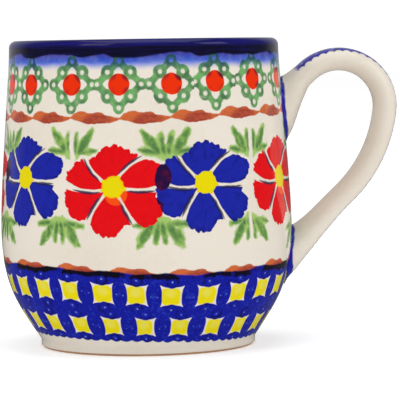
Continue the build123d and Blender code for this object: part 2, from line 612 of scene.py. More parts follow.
@dataclass(frozen=True)
class SixPetals:
    """A flower of six broad petals with toothed ends, curved gaps between them and a round middle."""

    gaps: tuple[float, ...] = (-178, -128, -61, -4, 45, 136, 182)
    curls: tuple[float, ...] = (14, -9, 0, -5, 14, 14, 14)
    sides: tuple[float, ...] = (0.45, -0.5, -0.5, -0.55, 0.52, 0.55, 0.45)
    middle: float = 3.3
    outline: tuple[Point, ...] = (
        (-180, 15.1), (-170, 15.7), (-151, 16.0), (-137, 14.6), (-128, 13.2), (-120, 13.6), (-97, 14.8),
        (-82, 13.6),
        (-70, 11.9), (-61, 12.2), (-52, 15.0), (-38, 16.3), (-28, 16.4), (-17, 14.4), (-8, 12.6), (0, 13.6),
        (8, 15.6), (17, 16.5), (28, 14.8), (38, 13.2), (46, 11.8), (58, 11.6), (75, 12.1), (90, 12.2),
        (108, 11.8), (122, 10.9), (132, 11.4), (142, 13.0), (155, 14.4), (170, 15.4), (180, 15.1),
    )

    def group(self) -> Group:
        """Builds the flower's node group."""
        group = Group("six_petals", ("Across", "Up"), ("Petals", "Ink", "Middle", "Pool", "Reach"))
        sheet = group.sheet
        x, y = group.given("Across"), group.given("Up")
        reach = hypot(x, y)
        angle = sheet.maths("ARCTAN2", y, x) * (180 / math.pi)
        wave, streak, blot = noises(sheet, 1, 2, joined(sheet, x * 0.45, y * 0.45), seed=17.0)
        edges = [(a + b) / 2 for a, b in zip(self.gaps, self.gaps[1:])]
        gap, curl, side = pick(angle, edges, self.gaps, self.curls, self.sides)
        bend = (12.0 - reach) * 0.125
        across = (((angle - gap - curl * bend) * (math.pi / 180)).sine()) * reach
        width = (reach - 9.5).most(0.0) * 0.13 + 0.52
        teeth = abs((angle * (math.pi / 180 * 15) + wave * 3.2).sine()) * (streak * 0.9 + 0.6) - 0.35
        petals = (reach - graph(angle, self.outline) - teeth - wave * 0.5).inside(0.0, 0.16)
        petals = petals * (width - abs(across)).inside(0.0, 0.16)
        ink = abs(across - side - wave * 0.25).inside(
            (reach - 8.4) * (reach - 8.4) * -0.02 + 0.46 + blot * 0.12, 0.2)
        ink = ink * reach.ramp(3.6, 4.6) * reach.ramp(13.2, 12.2)
        middle = reach.inside(wave * 0.5 + self.middle + abs(across).ramp(1.0, 0.0) * 0.7, 0.18)
        brush = noises(sheet, 1, 3, joined(sheet, angle * 0.22, reach * 0.14), seed=19.0)[0]
        rim = (graph(angle, self.outline) - reach).ramp(2.2, 0.0)
        pool = (brush * 0.9 + streak * 0.9 + rim * 0.35 + (abs(across) - width).ramp(1.2, 0.0) * 0.35).held()
        group.give(Petals=petals, Ink=ink, Middle=middle, Pool=pool, Reach=reach)
        return group


@dataclass(frozen=True)
class LeafFan:
    """A fan of short leaf dabs on a pale wash, drawn upwards from its base."""

    dabs: tuple[tuple[Point, Point, float, float], ...] = (
        ((2.3, 2.2), (6.8, 9.0), 0.85, 3.4),
        ((0.6, 1.6), (1.5, 7.8), 0.85, 1.6),
        ((2.6, 2.0), (8.1, 3.2), 0.75, 1.6),
    )  # where each starts and ends, its width at the ends and how much wider its middle is

    def group(self) -> Group:
        """Builds the fan's node group."""
        group = Group("leaf_fan", ("Across", "Up", "Parting"), ("Leaf", "Core", "Tip"))
        sheet = group.sheet
        x, y = abs(group.given("Across")), group.given("Up")
        shape: Value | None = None
        for (start_x, start_y), (end_x, end_y), slim, fuller in self.dabs:
            run_x, run_y = end_x - start_x, end_y - start_y
            length = run_x * run_x + run_y * run_y
            from_x, from_y = x - start_x, y - start_y
            share = ((from_x * run_x + from_y * run_y) * (1 / length)).held()
            width = share * (1 - share) * fuller + slim
            dab = hypot(from_x - share * run_x, from_y - share * run_y) - width
            shape = dab if shape is None else shape.soft_least(dab, 0.8)
        wash = hypot(x * 0.85, y - 2.5) - 2.6
        blur, mottle, _ = noises(sheet, 420, 2, seed=23.0)
        leaf = (shape.soft_least(wash, 0.9) + blur * 1.3).most(group.given("Parting") - x)
        core = shape.ramp(0.1, -1.1) * (mottle * 2.0 + 0.8).held() * y.ramp(0.8, 3.0)
        group.give(Leaf=leaf.inside(0.0, 0.4), Core=core, Tip=(y * 0.09 + mottle * 0.5).held())
        return group


@dataclass(frozen=True)
class LatticeBand:
    """Sponged cobalt with two rows of four-pointed windows, each dabbed with yellow."""

    upper_turns: tuple[Point, ...] = (
        (-180, -1.74), (-155, 0), (-140.7, 1), (-127.4, 2), (-112.7, 3), (-99.1, 4), (-85, 5), (-69.8, 6),
        (-55.3, 7), (-40.8, 8), (0, 10.82), (60, 14.97), (120, 19.1), (180, 23.26),
    )
    lower_turns: tuple[Point, ...] = (
        (-180, -1.5), (-156.8, 0), (-142.1, 1), (-126.6, 2), (-110.7, 3), (-95.8, 4), (-80.5, 5), (-63.8, 6),
        (-47.4, 7), (0, 10.02), (60, 13.85), (120, 17.67), (180, 21.5),
    )
    upper_level: tuple[Point, ...] = (
        (-180, 23.2), (-150, 23.4), (-120, 22.8), (-98, 22.0), (-70, 21.2), (-45, 22.0), (30, 22.4),
        (110, 22.2), (180, 23.2),
    )
    lower_level: tuple[Point, ...] = (
        (-180, 11.2), (-155, 11.5), (-125, 11.3), (-96, 10.8), (-64, 9.9), (-40, 9.3), (40, 10.2),
        (120, 11.0), (180, 11.2),
    )
    ring: float = 2.2

    def windows(self, turn: Value, along: Value, turns: Sequence[Point],
                levels: Sequence[Point]) -> list[Value]:
        """Works out one row of windows.

        Args:
            turn: degrees round the mug.
            along: millimetres up the wall.
            turns: which window stands at which angle.
            levels: the row's height at each angle.

        Returns:
            Distance outside the window, the yellow dab's mask, ring shading, the small light dots and the
            paler middle of the dab.
        """
        sheet = turn.sheet
        place = graph(turn, turns)
        number = sheet.maths("ROUND", place)
        pitch = ROUND_TURN * WRAP_RADIUS_MM / (turns[-1][1] - turns[0][1])
        x, y = (place - number) * pitch, (along - graph(turn, levels)) * 1.05
        chance = sheet.node("ShaderNodeTexWhiteNoise", noise_dimensions="1D")
        sheet.feed(chance.inputs["W"], number + pitch)
        shift = (Value(sheet, chance.outputs["Value"]) - 0.5) * 1.5
        side, end = hypot(abs(x) - 5.3, y), hypot(x, abs(y) - 4.85)
        long, short = abs(x).most(abs(y)), abs(x).least(abs(y))
        outside = (long - 2.95 - short.least(3.6) ** 3 * 0.0145).most(self.ring - end)
        near = x - shift * 0.8
        dab = ((near**4 + (y + 0.1) ** 4) ** 0.25 - 2.95).most(outside - 0.05)
        nearest = side.least(end)
        rings = (abs(end - 1.75).ramp(0.9, 0.0) * 0.6 + abs(side - 1.6).ramp(0.8, 0.0) * 0.25
                 - nearest.ramp(1.1, 0.4) * 0.4)
        dots = end.inside(0.22, 0.2).most(hypot(abs(x) - pitch / 2 + 1.1, y - shift).inside(0.15, 0.2) * 0.6)
        pale = hypot(near, y - 0.9).ramp(2.5, 0.7)
        return [outside, dab, rings, dots, pale]

    def group(self) -> Group:
        """Builds the band's node group."""
        group = Group("lattice_band", ("Turn", "Along"), ("Blue", "Depth", "Yellow", "Rich", "Dots", "Edge"))
        sheet = group.sheet
        turn, along = group.given("Turn"), group.given("Along")
        upper = self.windows(turn, along, self.upper_turns, self.upper_level)
        lower = self.windows(turn, along, self.lower_turns, self.lower_level)
        wave, mottle, blot = noises(sheet, 230, 2, seed=29.0)
        turned = turn * (math.pi / 180)
        scallop = abs((turned * 35.0 + wave * 0.8).sine())
        foot = graph(turn, self.lower_level) - 5.3 - scallop * 0.6 - wave * 0.7
        crown = graph(turn, self.upper_level) + 7.0 + (turned * 16 + 1.0).sine() * 0.35 + wave * 0.6
        band = (along - foot).ramp(-0.15, 0.2) * (crown - along).ramp(-0.2, 0.3)
        outside = upper[0].least(lower[0]) + mottle * 0.35
        split = (along - 16.3).ramp(-0.5, 0.5)
        blue = band * outside.ramp(-0.12, 0.2)
        depth = upper[2] * split + lower[2] * (1 - split) + blot * 0.6 + (along - foot).ramp(2.0, 0.0) * 0.1
        yellow = (upper[1].least(lower[1]) + mottle * 0.4).inside(0.0, 0.25)
        rich = (blot * 0.7 + 1.05 - (upper[4] * split + lower[4] * (1 - split)) * 0.9).held()
        dots = upper[3].most(lower[3]) * band
        group.give(Blue=blue, Depth=depth, Yellow=yellow, Rich=rich, Dots=dots,
                   Edge=outside.inside(0.25, 0.2))
        return group


# ----------------------------------------------------------------------------------------------------------
# Finishes
# ----------------------------------------------------------------------------------------------------------


@dataclass(frozen=True)
class Kit:
    """The shared node groups."""

    glaze_body: Group
    cobalt: Group
    bare_clay: Group

    @classmethod
    def built(cls) -> "Kit":
        """Builds every shared group once."""
        return cls(glaze_body_group(), cobalt_group(), bare_clay_group())


@dataclass(frozen=True)
class Finish:
    """A material with one shader. Subclasses lay its colour, roughness and relief."""

    kit: Kit
    name: str = "finish"
    refraction: float = 1.5
    sheen: float = 0.35

    def made(self) -> bpy.types.Material:
        """Builds the material."""
        material = bpy.data.materials.new(self.name)
        material.use_nodes = True
        tree = material.node_tree
        tree.nodes.clear()
        sheet = Sheet(tree)
        shader = sheet.node("ShaderNodeBsdfPrincipled")
        shader.inputs["IOR"].default_value = self.refraction
        shader.inputs["Specular IOR Level"].default_value = self.sheen
        end = sheet.node("ShaderNodeOutputMaterial")
        tree.links.new(shader.outputs[0], end.inputs["Surface"])
        colour, roughness, height = self.laid(sheet)
        tree.links.new(colour.socket, shader.inputs["Base Color"])
        tree.links.new(roughness.socket, shader.inputs["Roughness"])
        bump = sheet.node("ShaderNodeBump")
        bump.inputs["Distance"].default_value = self.relief()
        bump.inputs["Strength"].default_value = 1.0
        tree.links.new(height.socket, bump.inputs["Height"])
        tree.links.new(bump.outputs[0], shader.inputs["Normal"])
        return material

    def relief(self) -> float:
        """How high a unit of relief stands, in metres."""
        return 0.00002

    def laid(self, sheet: Sheet) -> tuple[Value, Value, Value]:
        """Lays the finish: its colour, roughness and height."""
        raise NotImplementedError

    @staticmethod
    def position(sheet: Sheet) -> list[Value]:
        """The point's place on the mug in millimetres: X, Y and Z."""
        spot = sheet.node("ShaderNodeTexCoord")
        parted = sheet.node("ShaderNodeSeparateXYZ")
        sheet.tree.links.new(spot.outputs["Object"], parted.inputs[0])
        return [Value(sheet, socket) * 1000.0 for socket in parted.outputs]

    @staticmethod
    def map_place(sheet: Sheet) -> list[Value]:
        """The paint map's two numbers."""
        spot = sheet.node("ShaderNodeUVMap", uv_map=PAINT_MAP)
        parted = sheet.node("ShaderNodeSeparateXYZ")
        sheet.tree.links.new(spot.outputs[0], parted.inputs[0])
        return [Value(sheet, socket) for socket in parted.outputs][:2]


@dataclass(frozen=True)
class BareClay(Finish):
    """Fired clay with no glaze."""

    name: str = "bare_clay"
    coarseness: float = 0.6

    def relief(self) -> float:
        """How high a unit of relief stands, in metres."""
        return 0.00008

    def laid(self, sheet: Sheet) -> tuple[Value, Value, Value]:
        """Lays the sandy colour and its grain."""
        colour, roughness, height = self.kit.bare_clay.placed(sheet, self.coarseness)
        return colour, roughness, height


@dataclass(frozen=True)
class LinerGlaze(Finish):
    """Cream glaze with the rim's cobalt carried over the lip."""

    name: str = "liner_glaze"
    rim: float = 94.2  # the cobalt ends about here, in millimetres above the table
    # how far this coat's cream is darkened as painted shade
    shade: float = 0.15

    def laid(self, sheet: Sheet) -> tuple[Value, Value, Value]:
        """Lays the cream, then the cobalt edge."""
        height = self.position(sheet)[2]
        body, roughness, relief = self.kit.glaze_body.placed(sheet, self.shade)
        wave = noises(sheet, 120, 2, seed=31.0)[0]
        cobalt = self.kit.cobalt.placed(sheet, 0.55, 0.5)[0]
        wash = (height + wave * 1.6).ramp(self.rim - 1.6, self.rim + 0.3)
        return over(sheet, body, cobalt, wash), roughness, relief


@dataclass(frozen=True)
class HandleGlaze(Finish):
    """Cream glaze with a strip of cobalt lace along the outer face and a stroke round each root."""

    name: str = "handle_glaze"
    # how far the handle's cream is darkened as painted shade
    shade: float = 0.3
    half_strip: float = 5.5
    pitch: float = 4.6  # from one dot of the lace to the next, in millimetres

    def laid(self, sheet: Sheet) -> tuple[Value, Value, Value]:
        """Lays the cream, the lace and the strokes at the wall."""
        x, y, z = self.position(sheet)
        around, along = self.map_place(sheet)
        along = along * HandleForm.MAP_LENGTH - HandleForm.MAP_START
        body, roughness, relief = self.kit.glaze_body.placed(sheet, self.shade)
        wave, blot, thin = noises(sheet, 260, 2, seed=37.0)
        outer = (abs(around - 0.5)).ramp(0.27, 0.24)  # the face away from the finger
        cell = (along / self.pitch + wave * 0.12).wrapped(-0.5, 0.5) * self.pitch
        edge = (self.half_strip - along.ramp(6.0, 34.0) * 1.3
                + abs((along * (math.pi / (self.pitch / 2))).sine()) * -0.7 + wave * 0.5)
        reach = (along.ramp(-3.5, -1.5)) * along.ramp(92.0, 88.0)
        strip = (abs(y) - edge).inside(0.0, 0.25) * outer * reach
        dots = hypot(cell, abs(y) - 3.1).inside(0.36, 0.25).most(hypot(abs(cell) - 2.3, y).inside(0.4, 0.25))
        rings = abs(hypot(cell, abs(y) - 3.1) - 1.5).ramp(0.7, 0.0) * 0.5
        lace = self.kit.cobalt.placed(sheet, rings + blot * 0.4, 0.6)[0]
        lace = over(sheet, lace, Paint.COBALT_DOT, dots * 0.85)
        colour = over(sheet, body, lace, strip * (0.95 - thin.ramp(0.2, 0.6) * 0.4))
        wall = hypot(x, y) - graph(z, TurnedForm().wall_graph())
        stroke = (wall - (1.0 + wave * 0.7 + (z - 26.0).ramp(0.0, -3.0) * 0.8)).inside(0.0, 0.25)
        return over(sheet, colour, self.kit.cobalt.placed(sheet, 0.35, 0.3)[0], stroke), roughness, relief


@dataclass(frozen=True)
class PaintedGlaze(Finish):
    """The painted outside: lattice, leaves, flowers, brown rings, lace stamps and the cobalt rim."""

    name: str = "painted_glaze"
    stamps: Row = Row(
        (-166.9, -148.1, -125.2, -104.9, -83.7, -65.0, -44.5, -21.4, 0.6, 20.9, 43.6, 64.0, 86.4, 106.6,
         129.1, 149.5, 172.2),
        (82.2, 82.1, 82.1, 82.1, 82.1, 82.6, 83.1, 83.1, 83.3, 83.4, 83.2, 82.9, 82.6, 82.3, 82.1, 81.9,
         82.0),
    )
    red: Row = Row((-107.3, -28.5, 28.5, 100.0, 171.0), (51.8, 53.0, 53.4, 52.4, 53.6))
    blue: Row = Row((-149.0, -71.0, 64.0, 135.0), (54.1, 52.6, 52.8, 53.9))
    upper_fans: Row = Row((-163, -124.6, -86.4, -48.7, -7, 7, 47, 82, 118, 153),
                          (60.0, 59.5, 59.5, 59.5, 60, 60, 60, 59.5, 60, 60))
    lower_fans: Row = Row((-166, -130, -89.2, -50.5, -13, 13, 46, 82, 117, 153),
                          (43.2, 43.5, 43.2, 43.3, 40, 40, 43, 43.2, 43.4, 43))
    knots: tuple[Point, ...] = (
        (-180, -0.62), (-167, 0), (-146.1, 1), (-125.4, 2), (-104.4, 3), (-84.3, 4), (-63.8, 5), (-41.2, 6),
        (-20.2, 7), (60, 10.75), (120, 13.56), (180, 16.38),
    )
    knot_level: tuple[Point, ...] = (
        (-180, 72.4), (-150, 72.2), (-100, 72.1), (-70, 72.5), (-30, 73.1), (40, 73.0), (120, 72.4),
        (180, 72.4),
    )
    heavy: tuple[Point, ...] = (
        (-180, 1), (-158, 0.2), (-154, 1), (-134, 1), (-130, 0.2), (-127, 1), (-105, 1), (-101, 0.15),
        (-97, 1),
        (-86, 0.9), (-82, 0.2), (-74, 0.2), (-70, 0.8), (-52, 0.8), (-46, 0.2), (-40, 1), (60, 1), (180, 1),
    )
    low_knots: tuple[Point, ...] = (
        (-180, -1.04), (-157, 0), (-132, 1), (-110, 2), (-87, 3), (-64.5, 4), (-42.5, 5), (60, 9.58),
        (180, 14.96),
    )

    def laid(self, sheet: Sheet) -> tuple[Value, Value, Value]:
        """Lays every layer, from the lattice up to the rim."""
        x, y, height = self.position(sheet)
        along = self.map_place(sheet)[1] * 100.0
        turn = sheet.maths("ARCTAN2", y, x) * (180 / math.pi)
        # 0.12: the outside's cream darkened slightly as painted shade
        body, roughness, relief = self.kit.glaze_body.placed(sheet, 0.12)
        slow, slow_up, streaky = noises(sheet, 110, 2, seed=41.0)
        quick, quick_up, blot = noises(sheet, 480, 2, seed=43.0)
        turned = turn + slow * 0.55 + quick * 0.32
        raised = height + slow_up * 0.5 + quick_up * 0.25
        steady, steady_up = turn + quick * 0.16, along + quick_up * 0.14

        # The low brown ring, then the lattice that turns it nearly black where they overlap.
        stroke = LeafStroke().group()
        lattice = LatticeBand()
        share = graph(turned, self.low_knots)
        share = share - sheet.maths("FLOOR", share)
        low = stroke.placed(sheet, share, along - graph(turn, lattice.upper_level) - 6.5 + slow_up * 0.7)
        colour = over(sheet, body, over(sheet, Paint.BROWN, Paint.BROWN_DARK, low[1]), low[0] * 0.95)
        blue, depth, yellow, rich, dots, edge = lattice.group().placed(sheet, steady, steady_up)
        colour = over(sheet, colour, over(sheet, Paint.YELLOW_PALE, Paint.YELLOW, rich), yellow)
        heavy = graph(turn, self.heavy)
        crown = (along - graph(turn, lattice.upper_level) - 5.4 + slow * 2.2 + quick * 0.6).ramp(-0.9, 0.5)
        navy = low[0].most(crown * 0.9) * crown * heavy * (blot * 0.9 + 0.95).held()
        cobalt = self.kit.cobalt.placed(sheet, depth * 0.8 + navy * 1.3 + blot * 0.35 + 0.08, 0.75)[0]
        cobalt = over(sheet, cobalt, Paint.TEAL, yellow * edge * 0.7)
        colour = over(sheet, colour, cobalt, blue)
        colour = over(sheet, colour, Paint.COBALT_DOT, dots * (0.75 + blot))

        # Leaves, then red flowers, then blue ones over them.
        fan = LeafFan().group()
        parted = pick(turn, (-135, -110, -62, -35), (-9, 0.8, -9, 0.8, -9), (-9, -9, -9, 0.7, -9))
        for row, way, parting in ((self.upper_fans, 1.0, parted[0]), (self.lower_fans, -1.0, parted[1])):
            across, up = row.local(turned + slow * 0.8, raised)
            leaf, core, tip = fan.placed(sheet, across + streaky * 1.5,
                                         (up + slow * 0.8 + streaky * 0.6) * way, parting)
            green = over(sheet, over(sheet, Paint.LEAF_WASH, Paint.LEAF, (core + blot * 0.5).held()),
                         Paint.LEAF_DARK, core * (0.9 - tip * 0.6))
            colour = over(sheet, colour, green, leaf * 0.94)
        flower = SixPetals().group()
        across, up = self.red.local(turned, raised)
        red, ink, middle, pool, reach = flower.placed(sheet, across, up)
        colour = over(sheet, colour, over(sheet, Paint.RED, Paint.RED_DARK, pool * 0.7), red)
        colour = over(sheet, colour, Paint.INK, ink * 0.92)
        colour = over(sheet, colour, Paint.ORANGE_THIN,
                      hypot(across - 0.9, up + 2.2).inside(3.3, 0.2) * (red * 0.55 + 0.2))
        colour = over(sheet, colour, over(sheet, Paint.YELLOW, Paint.YELLOW_WARM,
                                          red * reach.ramp(2.6, 3.6)), middle)
        across, up = self.blue.local(turned, raised)
        petals, ink, middle, pool, reach = flower.placed(sheet, across, up)
        smear = hypot((across + 13.4 - up * 0.12) / 2.4,
                      (up - 1.9) / 4.0).inside(quick * 0.3 + slow * 0.3 + 1.0, 0.05)
        petals = petals.most(smear)
        overlap = over(sheet, Paint.OVERLAP, Paint.OVERLAP_WARM, (blot * 1.4 + 0.1).held())
        petal = over(sheet, over(sheet, Paint.BLUE, Paint.BLUE_DARK, pool * 0.85), overlap, red.most(smear))
        colour = over(sheet, colour, petal, petals)
        colour = over(sheet, colour, Paint.INK, ink * 0.9)
        colour = over(sheet, colour, over(sheet, Paint.YELLOW, Paint.YELLOW_WARM,
                                          reach.ramp(3.2, 4.2) * 0.6), middle)

        # The cobalt wash under the rim, the lace stamps and the brown ring they stand on.
        washed = (height + slow * 1.4).ramp(86.0, 89.2)
        wash = over(sheet, Paint.COBALT_WASH, Paint.COBALT, (height + slow).ramp(87.5, 91.5))
        colour = over(sheet, colour, wash, washed * (0.93 + blot * 0.12))
        share = graph(turned, self.knots)
        ring, dark = stroke.placed(sheet, share - sheet.maths("FLOOR", share),
                                   raised - graph(turn, self.knot_level))
        colour = over(sheet, colour, over(sheet, Paint.BROWN, Paint.BROWN_DARK, dark), ring * 0.95)
        green, deep, dot, both = LaceStamp().group().placed(
            sheet, *self.stamps.local(turn + quick * 0.4, height + quick_up * 0.3))
        stamp = over(sheet, over(sheet, Paint.STAMP, Paint.STAMP_DARK, deep), Paint.TEAL, washed * 0.75)
        colour = over(sheet, colour, stamp, green * (0.92 - blot.ramp(0.1, 0.6) * 0.25))
        colour = over(sheet, colour, over(sheet, Paint.ORANGE, Paint.ORANGE_DARK, both), dot)

        # The dark brushed band at the rim, lighter plum at the lip's crest as a painted highlight, cobalt
        # again on the lip, and the strokes round the handle's roots.
        streak = noises(sheet, 1, 3, joined(sheet, turn * 0.05, height * 2.2), seed=47.0)[0]
        wave = (turn * (math.pi / 180 * 14) + slow * 4).sine() * 0.5 + slow * 1.7 + quick * 0.2
        dark = (height + wave - 90.5).ramp(-0.15, 0.5)
        # Navy and plum in brush streaks, turning plum towards the lip's crest as a painted highlight.
        rim = over(sheet, Paint.NAVY, Paint.PLUM_STREAKS_AND_LIP_HIGHLIGHT,
                   ((height - 93.2).ramp(-0.6, 1.0) * 0.75 + streak * 0.9).held())
        colour = over(sheet, colour, rim, dark * 0.97)
        across = turn * (math.pi / 180 * 44.0)
        outline: Value | None = None
        for middle, half_height, half_width in (HandleForm().footprint(True), HandleForm().footprint(False)):
            beyond = hypot(across / half_width, (height - middle) / half_height) * half_width - half_width
            stroke_edge = slow * 0.5 + 0.9 + (height - (middle - half_height + 1.5)).ramp(0.0, -2.0) * 0.5
            round_it = (beyond - stroke_edge).inside(0.0, 0.25) * x.above(0.0)
            outline = round_it if outline is None else outline.most(round_it)
        colour = over(sheet, colour, self.kit.cobalt.placed(sheet, 0.35, 0.3)[0], outline)
        return colour, roughness, relief


@dataclass(frozen=True)
class TableTop(Finish):
    """The pale surface the mug stands on."""

    name: str = "table_top"

    def laid(self, sheet: Sheet) -> tuple[Value, Value, Value]:
        """Lays an even pale colour with a very faint grain."""
        broad, grain, _ = noises(sheet, 6, 2, seed=53.0)
        colour = sheet.node("ShaderNodeCombineColor")
        for socket, level in zip(colour.inputs, (0.93, 0.93, 0.935)):
            sheet.feed(socket, broad * 0.004 + level)
        return Value(sheet, colour.outputs[0]), (broad * 0.02 + 0.55).held(), grain * 0.01


# ----------------------------------------------------------------------------------------------------------
# Shapes
# ----------------------------------------------------------------------------------------------------------


def cubic(points: Sequence[Point], steps: int) -> list[Point]:
    """Points along a cubic curve.

    Args:
        points: its four control points.
        steps: how many pieces it is cut into.

    Returns:
        One more point than steps.
    """
    found = []
    for index in range(steps + 1):
        t = index / steps
        weights = ((1 - t) ** 3, 3 * (1 - t) ** 2 * t, 3 * (1 - t) * t * t, t**3)
        found.append(tuple(sum(w * p[axis] for w, p in zip(weights, points)) for axis in (0, 1)))
    return found


def arc(centre: Point, radius: float, start: float, end: float, steps: int) -> list[Point]:
    """Points along a circular arc, with angles in degrees."""
    angles = [math.radians(start + (end - start) * index / steps) for index in range(steps + 1)]
    return [(centre[0] + radius * math.cos(a), centre[1] + radius * math.sin(a)) for a in angles]


def wobble(angle: float, height: float) -> float:
    """How far a hand-turned wall strays from a true circle, in millimetres."""
    slow = 0.06 * math.sin(2 * angle + 0.6 + height / 60) + 0.04 * math.sin(3 * angle + 2.1 - height / 45)
    ridges = 0.012 * math.sin(height * 1.25 + 0.8 * math.sin(angle))
    return (slow + ridges) * min(1.0, max(0.0, (height - 2.0) / 14.0))


@dataclass(frozen=True)
class TurnedForm:
    """The mug's outline in millimetres: radius and height of the glazed surface."""

    height: float = 95.5
    rim_radius: float = 42.0
    lip_thickness: float = 4.4
    belly_radius: float = 45.5
    belly_height: float = 37.0
    wall: float = 4.2
    floor_top: float = 6.4
    floor_radius: float = 26.0
    foot_radius: float = 33.6
    foot_height: float = 2.4
    foot_ring_width: float = 4.2
    recess_depth: float = 1.6
    glaze: float = 0.4
    glaze_line: float = 0.7
    slip: float = 0.9
    heel_lean: float = 32.6
    lip_pull: float = 8.0  # how far each end of a wall curve is led on before it turns
    belly_pull_up: float = 14.0
    belly_pull_down: float = 18.5
    heel_pull: float = 12.0
    floor_pull: float = 9.0

    @property
    def lip_radius(self) -> float:
        """Half the lip's thickness."""
        return self.lip_thickness / 2

    @property
    def lip_centre(self) -> Point:
        """The centre of the lip's rounding."""
        return (self.rim_radius - self.lip_radius, self.height - self.lip_radius)

    @property
    def recess_radius(self) -> float:
        """The inside of the foot ring."""
        return self.foot_radius - self.glaze - self.foot_ring_width

    def flank(self, top: Point, belly: Point, steps: int) -> list[Point]:
        """The wall from under the lip to the belly.

        Args:
            top: where it leaves the lip's rounding.
            belly: the widest point.
            steps: how many pieces it is cut into.

        Returns:
            Its points after the first.
        """
        led, held = (top[0], top[1] - self.lip_pull), (belly[0], belly[1] + self.belly_pull_up)
        return cubic((top, led, held, belly), steps)[1:]

    def outside(self, inset: float, low_end: float, fineness: float = 1.0) -> list[Point]:
        """The outside from the lip's crest down.

        Args:
            inset: how far below the glazed surface.
            low_end: the height at which it stops.
            fineness: how closely its points stand.

        Returns:
            Points from the crest to the low end.
        """
        lip, lean = self.lip_centre, math.radians(self.heel_lean)
        top = (lip[0] + self.lip_radius - inset, lip[1])
        belly = (self.belly_radius - inset, self.belly_height)
        heel = (self.foot_radius - inset, self.foot_height)
        pulled = (heel[0] + self.heel_pull * math.sin(lean), heel[1] + self.heel_pull * math.cos(lean))
        led = (belly[0], belly[1] - self.belly_pull_down)
        line = arc(lip, self.lip_radius - inset, 90, 0, int(22 * fineness))
        line += self.flank(top, belly, int(52 * fineness))
        line += cubic((belly, led, pulled, heel), int(42 * fineness))[1:]
        return line + [(heel[0], heel[1] + (low_end - heel[1]) * share) for share in (0.3, 0.65, 1.0)]

    def inside(self, inset: float, fineness: float = 1.0) -> list[Point]:
        """The inside from the lip's crest down to the axis.

        Args:
            inset: how far below the glazed surface.
            fineness: how closely its points stand.

        Returns:
            Points from the crest to the axis.
        """
        lip = self.lip_centre
        top = (lip[0] - self.lip_radius + inset, lip[1])
        belly = (self.belly_radius - self.wall + inset, self.belly_height)
        floor = (self.floor_radius, self.floor_top - inset)
        line = arc(lip, self.lip_radius - inset, 90, 180, int(20 * fineness))
        line += self.flank(top, belly, int(38 * fineness))
        led, pulled = (belly[0], belly[1] - self.belly_pull_down), (floor[0] + self.floor_pull, floor[1])
        line += cubic((belly, led, pulled, floor), int(34 * fineness))[1:]
        return line + [(floor[0] * share, floor[1]) for share in (0.8, 0.6, 0.4, 0.2, 0.0)]

    def radius_at(self, height: float) -> float:
        """The glazed wall's radius at a height, in millimetres."""
        line = self.outside(0.0, 0.0)
        for (r0, z0), (r1, z1) in zip(line, line[1:]):
            if z1 <= height <= z0 and z0 > z1:
                return r1 + (r0 - r1) * (height - z1) / (z0 - z1)
        return line[0][0]

    def wall_graph(self) -> list[Point]:
        """Points of a graph of the wall's radius against height, where the handle stands."""
        return [(height, self.radius_at(height)) for height in (10, 16, 22, 28, 34, 40, 50, 60, 70, 80, 90)]


def finished(name: str, mesh: bmesh.types.BMesh, crease: float = 38.0) -> bpy.types.Object:
    """Turns a working mesh into an object in the scene.

    Args:
        name: the piece's name.
        mesh: the working mesh, which is freed.
        crease: edges that turn by more than this many degrees stay sharp.

    Returns:
        The new object.
    """
    bmesh.ops.recalc_face_normals(mesh, faces=mesh.faces)
    for face in mesh.faces:
        face.smooth = True
    for edge in mesh.edges:
        edge.smooth = edge.calc_face_angle(0.0) < math.radians(crease)
    data = bpy.data.meshes.new(name)
    mesh.to_mesh(data)
    mesh.free()
    made = bpy.data.objects.new(name, data)
    bpy.context.scene.collection.objects.link(made)
    return made


def turned(name: str, outline: Sequence[Point], columns: int = 240, shown: int = 0,
           low_end: float = 0.0) -> bpy.types.Object:
    """Turns an outline round the axis as a closed mesh.

    Args:
        name: the piece's name.
        outline: radius and height in millimetres, in order round the section. An outline that starts and
            ends on the axis is closed there; any other is joined end to end.
        columns: how many facets go round.
        shown: how many of the first points form the painted side. It gets most of the bake map, and the
            paint map holds millimetres up it divided by 100.
        low_end: how far up the wall the painted side starts.

    Returns:
        The new object.
    """
    mesh = bmesh.new()
    rings: list[list[bmesh.types.BMVert]] = []
    for radius, height in outline:
        if radius < 1e-6:
            rings.append([mesh.verts.new((0, 0, height * MM))] * columns)
            continue
        angles = [ROUND_TURN * column / columns - math.pi for column in range(columns)]
        radii = [(radius + wobble(a, height) * min(1.0, radius / 30)) * MM for a in angles]
        rings.append([mesh.verts.new((r * math.cos(a), r * math.sin(a), height * MM))
                      for r, a in zip(radii, angles)])
    paint = mesh.loops.layers.uv.new(PAINT_MAP)
    bake = mesh.loops.layers.uv.new("OFBake") if shown else None
    reaches = [0.0]
    for (r0, z0), (r1, z1) in zip(outline, outline[1:]):
        reaches.append(reaches[-1] + math.hypot(r1 - r0, z1 - z0))
    full, half = reaches[max(shown - 1, 0)], columns // 2
    closed = outline[0][0] < 1e-6
    for above, below in zip(range(len(rings)), list(range(1, len(rings))) + ([] if closed else [0])):
        for column in range(columns):
            after = (column + 1) % columns
            corners = [(rings[above][column], above, 0), (rings[below][column], below, 0)]
            corners += [(rings[below][after], below, 1), (rings[above][after], above, 1)]
            kept = [c for i, c in enumerate(corners) if all(c[0] is not d[0] for d in corners[:i])]
            face = mesh.faces.new([vert for vert, _, _ in kept])
            painted = shown and above < shown - 1
            for loop, (_, ring, step) in zip(face.loops, kept):
                up = max(full - reaches[ring], 0.0) + low_end if painted else low_end
                loop[paint].uv = ((column + step) / columns, up / 100.0)
                if bake and painted:
                    share = (column % half + step) / half
                    loop[bake].uv = (0.01 + 0.98 * share,
                                     (column // half) * 0.475 + 0.01 + 0.45 * reaches[ring] / full)
                elif bake:
                    deep = (reaches[ring] - full) / max(reaches[-1] - full, 1e-6) if ring else 1.0
                    loop[bake].uv = (0.01 + 0.98 * (column + step) / columns, 0.96 + 0.03 * deep)
    return finished(name, mesh)


